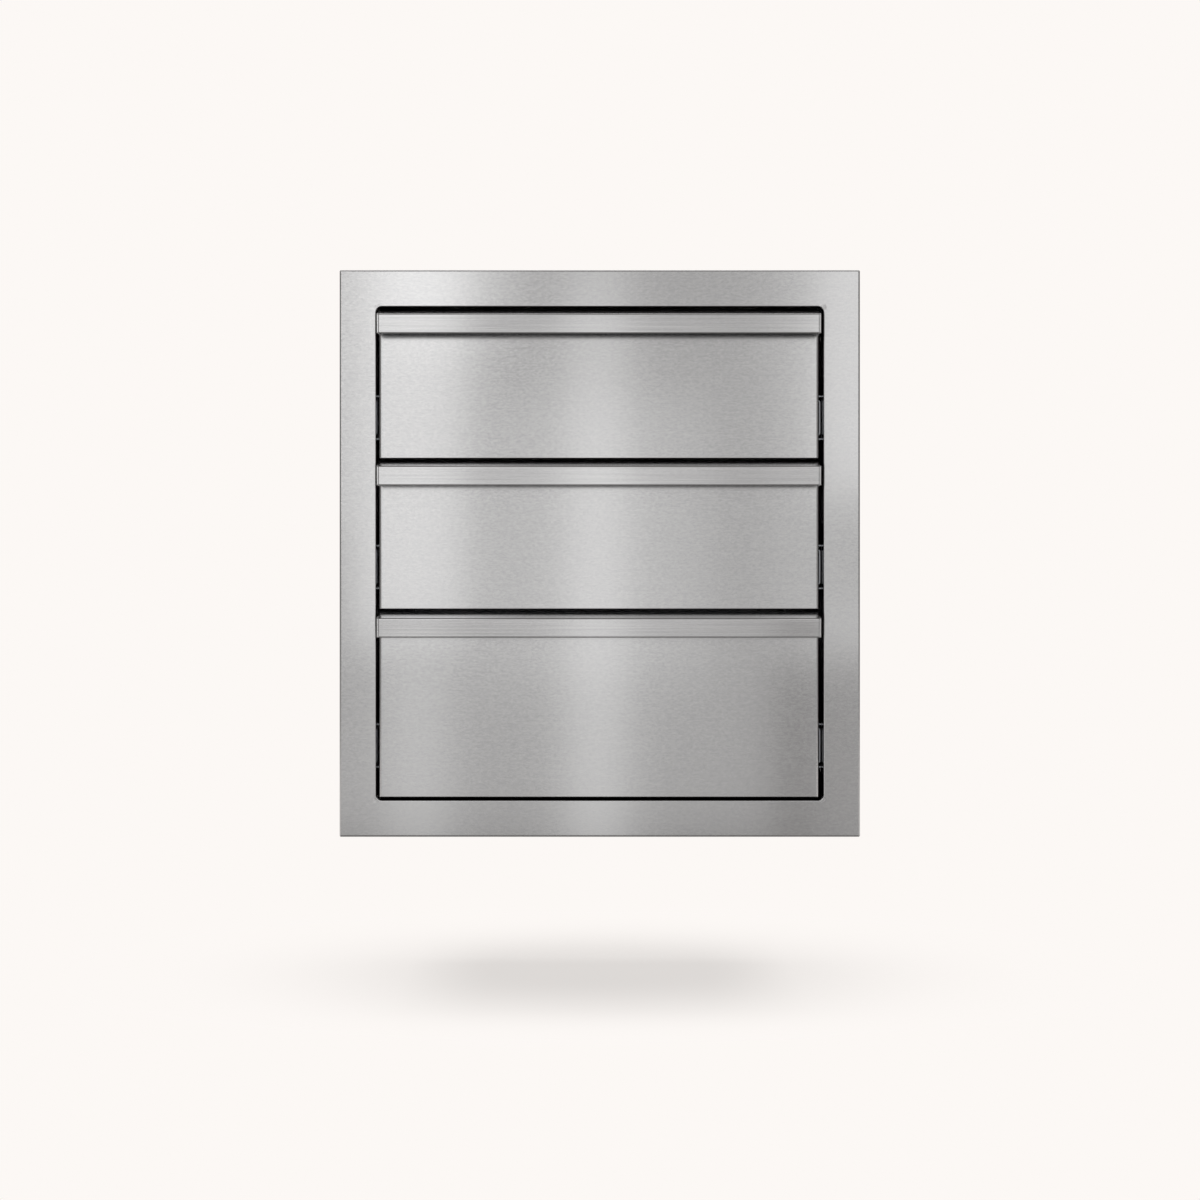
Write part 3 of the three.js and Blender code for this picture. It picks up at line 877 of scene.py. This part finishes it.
# Stainless steel that the weld's heat has tinted: a dull grey dot in a faint straw-coloured rim
weld_steel, tree = new_material("spot_weld_mark")
rim_share = add_node(tree, "ShaderNodeAttribute", attribute_name="weld_radius")
tint = add_node(tree, "ShaderNodeValToRGB", {"Fac": rim_share.outputs["Fac"]})
tint.color_ramp.elements[0].color = linear("#8E8E90")
tint.color_ramp.elements[1].color = linear("#AFAEAC")
rim = tint.color_ramp.elements.new(WELD_RIM_SHARE)
rim.color = linear("#9C968A")
steel = add_node(
    tree,
    "ShaderNodeBsdfPrincipled",
    {"Base Color": tint.outputs["Color"], "Metallic": 1.0, "Roughness": WELD_ROUGHNESS},
)
add_node(tree, "ShaderNodeOutputMaterial", {"Surface": steel.outputs["BSDF"]})


def spot_weld(across, up):
    """One weld mark, lying across two directions and standing up along their cross product."""
    across, up = Vector(across), Vector(up)
    outwards = across.cross(up)
    rings = []
    for share, height in WELD_PROFILE_SHARES:
        ring = []
        for across_share, up_share in round_turn(WELD_STEPS):
            around = (across * across_share + up * up_share) * WELD_RADIUS * share
            ring.append(around + outwards * height * WELD_RIDGE)
        rings.append(ring)
    mesh = mesh_of_rings("spot_weld", rings, closed=False)
    shares = mesh.attributes.new("weld_radius", "FLOAT", "POINT")
    for vertex, share in zip(mesh.vertices, shares.data):
        share.value = vertex.co.length / WELD_RADIUS
    return mesh


def weld_row(mark, start, end):
    """Marks along a line, as near the usual pitch as fills it."""
    start, end = Vector(start), Vector(end)
    count = round((end - start).length / WELD_PITCH) + 1
    return row_of(mark, count, start, (end - start) / (count - 1), weld_steel)


# Stainless sheet as rolled: an even soft grey that mirrors only broad light and dark, faintly lined
side_steel = rolled_steel("mill_finish_stainless_upright", "#B6B6B7", "#ABABAD", MILL_ROUGHNESS, "z")
cover_steel = rolled_steel("mill_finish_stainless_level", "#B6B6B7", "#ABABAD", MILL_ROUGHNESS, "x")
weld_inset = PANEL_LAP / 2
marks = []
for hand, side in HANDS:
    node = f"housing_{hand}_side"
    low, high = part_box(node)
    panel = swept_sheet(node, folded_sheet([(low.x, low.z), (low.x, high.z)], PANEL), low.y, high.y, "y")
    depths = (FLANGE_HIGH.y + FIXING_INSET, high.y - FIXING_INSET)
    heights = (low.z + FIXING_INSET, high.z - FIXING_INSET)
    holes = [drill(((low.x + high.x) / 2, y, z), FIXING_HOLE, "x") for y in depths for z in heights]
    name = f"housing_{hand}_panel"
    add_piece(name, cut_away(name, panel, holes), side_steel, "cabinet", "housing_steel", node)
    mark = spot_weld((0, side, 0), (0, 0, 1))
    outside = low.x if side < 0 else high.x
    for z in (low.z + weld_inset, high.z - weld_inset):
        marks.append(weld_row(mark, (outside, 3 * weld_inset, z), (outside, high.y - 3 * weld_inset, z)))
    for y in ((FLANGE_HIGH.y + low.y) / 2, high.y - weld_inset):
        marks.append(weld_row(mark, (outside, y, low.z + weld_inset), (outside, y, high.z - weld_inset)))

for level, side in (("bottom", -1), ("top", 1)):
    node = f"housing_{level}"
    low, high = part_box(node)
    outside, tip = (low.z, high.z) if side < 0 else (high.z, low.z)
    fold = [(low.x, tip), (low.x, outside, PANEL_BEND), (high.x, outside, PANEL_BEND), (high.x, tip)]
    sheet = swept_sheet(node, folded_sheet(fold, side * PANEL), low.y, high.y, "y")
    notches = []
    for start, end in (
        (low.y - OVERRUN, FLANGE_HIGH.y + HAIRLINE),
        (high.y - PANEL_LAP - HAIRLINE, high.y + OVERRUN),
    ):
        for x0, x1 in ((low.x - OVERRUN, low.x + NOTCH_WIDTH), (high.x - NOTCH_WIDTH, high.x + OVERRUN)):
            notches.append(block((x0, start, low.z - OVERRUN), (x1, end, high.z + OVERRUN)))
    name = f"housing_{level}_cover"
    add_piece(name, cut_away(name, sheet, notches), cover_steel, "cabinet", "housing_steel", node)
    mark = spot_weld((side, 0, 0), (0, 1, 0))
    for y in ((FLANGE_HIGH.y + low.y) / 2, high.y - weld_inset):
        ends = [(x, y, outside) for x in (low.x + 2 * weld_inset, high.x - 2 * weld_inset)]
        marks.append(weld_row(mark, *ends))
add_piece("housing_spot_welds", joined("housing_spot_welds", marks), weld_steel, "cabinet", "housing_steel")


def pan_mesh(name, low, high, sheet, bend, corner, upright_share, shut_in_front):
    """A folded pan, shut in front or behind. The bends of its upper and lower edges may be smaller than
    those of its sides, by a share."""
    shut, rim = (low.y, high.y) if shut_in_front else (high.y, low.y)
    thickness = sheet if shut_in_front else -sheet
    shown, hidden = folded_sheet([(bend + corner, shut), (0, shut, bend), (0, rim)], thickness)
    rings = []
    for inset, depth in shown + hidden[::-1]:
        outline = rounded_rectangle(
            (low.x + high.x) / 2,
            (low.z + high.z) / 2,
            (high.x - low.x) / 2 - inset,
            (high.z - low.z) / 2 - inset * upright_share,
            max(corner - inset, LEAST_CORNER),
        )
        rings.append([(x, depth, z) for x, z in outline])
    return mesh_of_rings(name, rings, closed=False)


BACK_CORNER = 1 * MM
back = pan_mesh("housing_back_pan", *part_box("housing_back"), PANEL, PANEL_BEND, BACK_CORNER, 1, False)
add_piece("housing_back_pan", back, cover_steel, "cabinet", "housing_steel", "housing_back")


# The drawer faces
# Each is a pan folded from one stainless sheet, its four edges turned back round a bend and welded at
# the corners. A plain plate closes it behind, with a clear hole round each of the two screws, so that
# the face can be set straight on its tray.
FACE_BEND = 2.6 * MM
LEVEL_BEND_SHARE = 0.3
FACE_CORNER = 1.2 * MM
PLATE_CORNER = 1.5 * MM
PLATE_ROUGHNESS = 0.34
ADJUSTING_HOLE = 3.4 * MM

# The frame's belt-brushed satin, on thinner panels that bend the bands of light a little more
face_steel = brushed_stainless("brushed_stainless_face", "#D8D8D8", "#CCCCCD")
# Stainless sheet as rolled: plain soft grey beside the bright satin
plate_steel = rolled_steel("mill_finish_stainless_plate", "#BDBDBE", "#B2B2B4", PLATE_ROUGHNESS, "x")


def plate_with_holes(name, low, high, corner, holes):
    """A flat plate that faces along Y, with round corners and drilled holes."""
    outline = rounded_rectangle(
        (low.x + high.x) / 2, (low.z + high.z) / 2, (high.x - low.x) / 2, (high.z - low.z) / 2, corner
    )
    rings = [[(x, y, z) for x, z in outline] for y in (low.y, high.y)]
    plate = mesh_of_rings(name, rings, closed=False)
    return cut_away(name, plate, holes) if holes else plate


def screw_drills(drawer, radius, low, high):
    """The drills for a drawer's two screws, through the sheet between two corners."""
    drills = []
    for hand in ("left", "right"):
        screw_low, screw_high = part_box(f"drawer_{drawer}_screw_{hand}")
        centre = (screw_low + screw_high) / 2
        drills.append(drill((centre.x, (low.y + high.y) / 2, centre.z), radius, "y"))
    return drills


DRAWERS = (1, 2, 3)
for drawer in DRAWERS:
    node = f"drawer_{drawer}_face"
    name = f"drawer_{drawer}_front_pan"
    pan = pan_mesh(name, *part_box(node), SHEET, FACE_BEND, FACE_CORNER, LEVEL_BEND_SHARE, True)
    add_piece(name, pan, face_steel, f"drawer_{drawer}", "face_steel", node)
    node = f"drawer_{drawer}_back_plate"
    low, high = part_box(node)
    name = f"drawer_{drawer}_closing_plate"
    holes = screw_drills(drawer, ADJUSTING_HOLE, low, high)
    plate = plate_with_holes(name, low, high, PLATE_CORNER, holes)
    add_piece(name, plate, plate_steel, f"drawer_{drawer}", "face_steel", node)


# The pulls
# A strip of the same sheet, welded to the face by a short tab: its top falls a little towards the
# front, a nearly upright lip is folded down from it, and the lip's edge is folded flat on itself.
# A small plate, ground flush, closes each end.
PULL_REACH = 25 * MM
PULL_SLOPE = 6 * MM
PULL_DROP = 25.4 * MM
PULL_LEAN = 1 * MM
PULL_BEND = 1.9 * MM
PULL_REAR_BEND = 1.8 * MM
TAB_HEIGHT = 13 * MM
HEM_HEIGHT = 7 * MM
HEM_GAP = 0.8 * MM
SEAM = 0.3 * MM
END_ROUNDING = 0.5 * MM
END_ROUNDING_STEPS = 3
PULL_STREAK_SHARE = 0.7

# Stainless strip, brushed along its length: thin streaks of light and dark run from end to end
pull_steel = brushed_stainless(
    "brushed_stainless_pull", "#DADADA", "#CACACB", grain_axes="x", streak_share=PULL_STREAK_SHARE
)


def pull_fold(front_y, top):
    """The corners of a pull's folded strip, on the face that shows, from the tab to the hem."""
    tab = front_y - SEAM
    nose = Vector((front_y - PULL_REACH, top - PULL_SLOPE))
    foot = nose + Vector((PULL_LEAN, top - PULL_DROP - nose.y))
    down = (foot - nose).normalized()
    hem_width = HEM_GAP + 2 * SHEET
    hem_bend = hem_width / 2 - FLAT_EDGE
    back = foot + Vector((-down.y, down.x)) * hem_width
    return [
        (tab, top - TAB_HEIGHT),
        (tab, top, PULL_REAR_BEND),
        (*nose, PULL_BEND),
        (*foot, hem_bend),
        (*back, hem_bend),
        tuple(back - down * HEM_HEIGHT),
    ]


def plate_mesh(name, outline, start, end):
    """A small plate with the outline (y, z), its rim softly rounded."""
    rings = [[(x, y, z) for y, z in outline] for x in (start, end)]
    shape = bmesh.new()
    shape.from_mesh(mesh_of_rings(name, rings, closed=False))
    rim = [edge for edge in shape.edges if edge.calc_face_angle() > SHARP_ANGLE]
    bmesh.ops.bevel(
        shape, geom=rim, offset=END_ROUNDING, segments=END_ROUNDING_STEPS, profile=0.5, affect="EDGES"
    )
    return finished_mesh(name, shape)


for drawer in DRAWERS:
    low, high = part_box(f"drawer_{drawer}_face")
    corners = pull_fold(low.y, high.z)
    strip_low, strip_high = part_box(f"drawer_{drawer}_pull")
    name = f"drawer_{drawer}_lip_pull"
    strip = swept_sheet(name, folded_sheet(corners, -SHEET), strip_low.x, strip_high.x, "x")
    add_piece(name, strip, pull_steel, f"drawer_{drawer}", "pull_steel", f"drawer_{drawer}_pull")
    rear = low.y - SEAM
    end_line = [(rear, high.z), corners[2], (*corners[3][:2], SHEET), (rear, high.z - PULL_DROP)]
    end_outline = rounded_line(end_line)
    for hand in ("left", "right"):
        node = f"drawer_{drawer}_pull_end_{hand}"
        plate_low, plate_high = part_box(node)
        name = f"drawer_{drawer}_pull_end_plate_{hand}"
        plate = plate_mesh(name, end_outline, plate_low.x, plate_high.x)
        add_piece(name, plate, pull_steel, f"drawer_{drawer}", "pull_steel", node)


# The trays
# Each tray is one folded sheet of 1 mm stainless steel, its sides ending in a rim rolled outwards and
# down. A wall is spot-welded in at the front and another at the back.
TRAY_SHEET = 1 * MM
TRAY_BEND = 1.5 * MM
RIM_WIDTH = 7 * MM
RIM_HEIGHT = 6.8 * MM
RIM_BEND = 2.5 * MM
WALL_CORNER = 2 * MM
SCREW_HOLE = 2.4 * MM
TRAY_ROUGHNESS = 0.3
TRAY_STREAK_SHARE = 0.5

# Lightly brushed stainless, its grain from front to back: greyer than the face, with blurred reflections
tray_steel = brushed_stainless(
    "brushed_stainless_tray", "#CACACB", "#BFBFC0", TRAY_ROUGHNESS, "y", TRAY_STREAK_SHARE
)
for drawer in DRAWERS:
    node = f"drawer_{drawer}_tray"
    low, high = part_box(node)
    inside = high.x - RIM_WIDTH - TRAY_SHEET
    half = [(high.x, high.z - RIM_HEIGHT), (high.x, high.z, RIM_BEND), (inside, high.z, RIM_BEND)]
    fold = [(-x, *rest) for x, *rest in half]
    floor_z = low.z + TRAY_SHEET
    fold += [(-inside, floor_z, TRAY_BEND), (inside, floor_z, TRAY_BEND), *half[::-1]]
    shell = swept_sheet(node, folded_sheet(fold, TRAY_SHEET), low.y, high.y, "y")
    walls = []
    for front, behind in ((low.y, low.y + TRAY_SHEET), (high.y - TRAY_SHEET, high.y)):
        wall_low = Vector((-inside, front, floor_z))
        wall_high = Vector((inside, behind, high.z - TRAY_SHEET / 2))
        walls.append((wall_low, wall_high))
    holes = screw_drills(drawer, SCREW_HOLE, *walls[0])
    front_wall = plate_with_holes("front_wall", *walls[0], WALL_CORNER, holes)
    rear_wall = plate_with_holes("rear_wall", *walls[1], WALL_CORNER, [])
    name = f"drawer_{drawer}_folded_tray"
    tray = joined(name, [shell, front_wall, rear_wall])
    add_piece(name, tray, tray_steel, f"drawer_{drawer}", "tray_steel", node)


# The slides
# Full-extension slides of 45 mm, roll-formed from zinc-plated strip: a member screwed to the housing, one
# riveted to the tray and one between them, with holes punched in their webs.
STRIP = 1.2 * MM
STRIP_BEND = 2 * MM
LIP_DEPTH = 2.6 * MM
WEB_HOLE = 2.3 * MM
WEB_HOLE_SHARES = (0.08, 0.36, 0.64, 0.92)
SLIDE_ROUGHNESS = 0.3
RIVET_RADIUS = 3.6 * MM
RIVET_HEIGHT = 1.5 * MM
RIVET_STEPS = 16
RIVET_SHARES = ((1.0, 0.0), (0.98, 0.35), (0.86, 0.7), (0.6, 0.93), (0.2, 1.0))
RIVET_ROUGHNESS = 0.26

# Bright zinc plate on rolled strip: cooler and bluer than the stainless steel round it, softly gleaming
slide_steel = rolled_steel("bright_zinc_plated_slide", "#B0B4B9", "#A2A6AB", SLIDE_ROUGHNESS, "y")
# The same plate on a pressed head: a small tight gleam on each dome
rivet_steel = rolled_steel("zinc_plated_rivet", "#A9ADB2", "#9A9EA3", RIVET_ROUGHNESS, "y")


def channel_mesh(name, low, high, opens, thickness, bend, lip):
    """A channel on its side, open to the left (-1) or the right (1), with or without turned-in lips."""
    web, tip = (low.x, high.x) if opens > 0 else (high.x, low.x)
    lips = [[(tip, low.z + lip)], [(tip, high.z - lip)]] if lip else [[], []]
    bottom, top = ((tip, z, bend) if lip else (tip, z) for z in (low.z, high.z))
    fold = [*lips[0], bottom, (web, low.z, bend), (web, high.z, bend), top, *lips[1]]
    return swept_sheet(name, folded_sheet(fold, opens * thickness), low.y, high.y, "y")


def rivet(outwards):
    """A domed rivet head that stands out along X, to one side."""
    rings = []
    for share, height in RIVET_SHARES:
        out = outwards * height * RIVET_HEIGHT
        ring = []
        for across, up in round_turn(RIVET_STEPS):
            ring.append((out, across * RIVET_RADIUS * share, up * RIVET_RADIUS * share))
        rings.append(ring)
    return mesh_of_rings("rivet", rings, closed=False)


for drawer in DRAWERS:
    for hand, side in HANDS:
        for member, body, opens, lip in (
            ("cabinet_member", "cabinet", -side, LIP_DEPTH + STRIP),
            ("middle_member", f"slides_{drawer}_middle_members", -side, LIP_DEPTH + STRIP),
            ("drawer_member", f"drawer_{drawer}", side, 0),
        ):
            node = f"slide_{drawer}_{hand}_{member}"
            low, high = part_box(node)
            web = (low.x if opens > 0 else high.x) + opens * STRIP / 2
            centre_z = (low.z + high.z) / 2
            places = [low.y + (high.y - low.y) * share for share in WEB_HOLE_SHARES]
            holes = [drill((web, y, centre_z), WEB_HOLE, "x") for y in places]
            name = f"{node}_channel"
            channel = channel_mesh(name, low, high, opens, STRIP, STRIP_BEND, lip)
            add_piece(name, cut_away(name, channel, holes), slide_steel, body, "slide_steel", node)
        # The member on the tray comes last, and rivets go through its holes
        start = (web + opens * STRIP / 2, places[0], centre_z)
        step = (0, (places[-1] - places[0]) / (len(places) - 1), 0)
        name = f"slide_{drawer}_{hand}_rivets"
        rivets = row_of(rivet(opens), len(places), start, step, rivet_steel)
        add_piece(name, rivets, rivet_steel, f"drawer_{drawer}", "slide_steel")


# The ball cages
# Thin bright strip folded to a channel between two slide members, with a row of polished steel balls
# caught in each of its flanges.
CAGE_STRIP = 0.6 * MM
CAGE_BEND = 0.9 * MM
BALL = 3.2 * MM
BALL_GAP = 0.25 * MM
BALL_PITCH = 6 * MM
BALL_SUBDIVISIONS = 2
CAGE_ROUGHNESS = 0.22
BALL_ROUGHNESS = 0.08

# Bright drawn strip: smoother than the plated slides, so that it flashes between them
cage_steel = rolled_steel("bright_drawn_cage_strip", "#A8A9AB", "#9A9B9D", CAGE_ROUGHNESS, "y")
# Ground and polished bearing steel: each ball is nearly a mirror, a bright point with a dark rim
ball_steel, tree = new_material("polished_ball_steel")
steel = add_node(
    tree,
    "ShaderNodeBsdfPrincipled",
    {"Base Color": linear("#C9CACC"), "Metallic": 1.0, "Roughness": BALL_ROUGHNESS},
)
add_node(tree, "ShaderNodeOutputMaterial", {"Surface": steel.outputs["BSDF"]})

shape = bmesh.new()
bmesh.ops.create_icosphere(shape, subdivisions=BALL_SUBDIVISIONS, radius=BALL / 2)
ball = finished_mesh("ball", shape)
for drawer in DRAWERS:
    for hand, side in HANDS:
        for cage, member in (("outer", "cabinet"), ("inner", "middle")):
            body = f"slides_{drawer}_{cage}_cages"
            node = f"slide_{drawer}_{hand}_{cage}_cage"
            low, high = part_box(node)
            member_low, member_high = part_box(f"slide_{drawer}_{hand}_{member}_member")
            inset = STRIP + BALL_GAP + BALL / 2
            rows = (member_low.z + inset, member_high.z - inset)
            low.z, high.z = rows[0] - CAGE_STRIP / 2, rows[1] + CAGE_STRIP / 2
            name = f"{node}_strip"
            strip = channel_mesh(name, low, high, -side, CAGE_STRIP, CAGE_BEND, 0)
            add_piece(name, strip, cage_steel, body, "cage_steel", node)
            tip = low.x if side > 0 else high.x
            ball_x = tip + side * (CAGE_STRIP + BALL / 2)
            count = round((high.y - low.y) / BALL_PITCH) - 1
            balls = []
            for z in rows:
                start = (ball_x, low.y + BALL_PITCH, z)
                balls.append(row_of(ball, count, start, (0, BALL_PITCH, 0), ball_steel))
            name = f"slide_{drawer}_{hand}_{cage}_balls"
            add_piece(name, joined(name, balls), ball_steel, body, "cage_steel")


# The screws
# Two stainless button-head screws hold each face to its tray: domed heads with a hexagon socket, inside
# the tray, and a rolled thread through both plates.
HEAD_HEIGHT = 2.4 * MM
SHANK_RADIUS = 2 * MM
THREAD_PITCH = 0.7 * MM
THREAD_DEPTH = 0.35 * MM
SOCKET_HALF = 1.25 * MM
SOCKET_DEPTH = 1.3 * MM
SCREW_STEPS = 24
DOME_SHARES = ((1.0, 0.0), (1.0, 0.3), (0.93, 0.62), (0.75, 0.88), (0.55, 1.0))
SCREW_ROUGHNESS = 0.24

# Cold-headed stainless, washed and left plain: clean and pale, with a tight gleam on the dome
screw_steel = rolled_steel("plain_stainless_screw", "#C2C2C4", "#B4B4B6", SCREW_ROUGHNESS, "z")


def screw_mesh(name, low, high):
    """A button-head screw along Y, its head at the high end."""
    centre = (low + high) / 2
    head_radius = (high.x - low.x) / 2
    head_foot = high.y - HEAD_HEIGHT
    rings = []

    def ring(depth, radius_at):
        """Adds a ring whose radius may change with the angle."""
        points = []
        for step in range(SCREW_STEPS):
            angle = 2 * math.pi * step / SCREW_STEPS
            radius = radius_at(angle)
            points.append((centre.x + radius * math.cos(angle), depth, centre.z + radius * math.sin(angle)))
        rings.append(points)

    def socket(angle):
        """How far the hexagon's sides are from its middle."""
        side = math.pi / 3
        return SOCKET_HALF / math.cos((angle % side) - side / 2)

    turns = int((head_foot - low.y) / THREAD_PITCH)
    for turn in range(turns):
        ring(low.y + turn * THREAD_PITCH, lambda angle: SHANK_RADIUS - THREAD_DEPTH)
        ring(low.y + (turn + 0.5) * THREAD_PITCH, lambda angle: SHANK_RADIUS)
    ring(head_foot, lambda angle: SHANK_RADIUS)
    for share, height in DOME_SHARES:
        ring(head_foot + height * HEAD_HEIGHT, lambda angle, share=share: head_radius * share)
    ring(high.y, socket)
    ring(high.y - SOCKET_DEPTH, socket)
    return mesh_of_rings(name, rings, closed=False)


for drawer in DRAWERS:
    for hand in ("left", "right"):
        node = f"drawer_{drawer}_screw_{hand}"
        name = f"drawer_{drawer}_button_screw_{hand}"
        screw = screw_mesh(name, *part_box(node))
        add_piece(name, screw, screw_steel, f"drawer_{drawer}", "screw_steel", node)
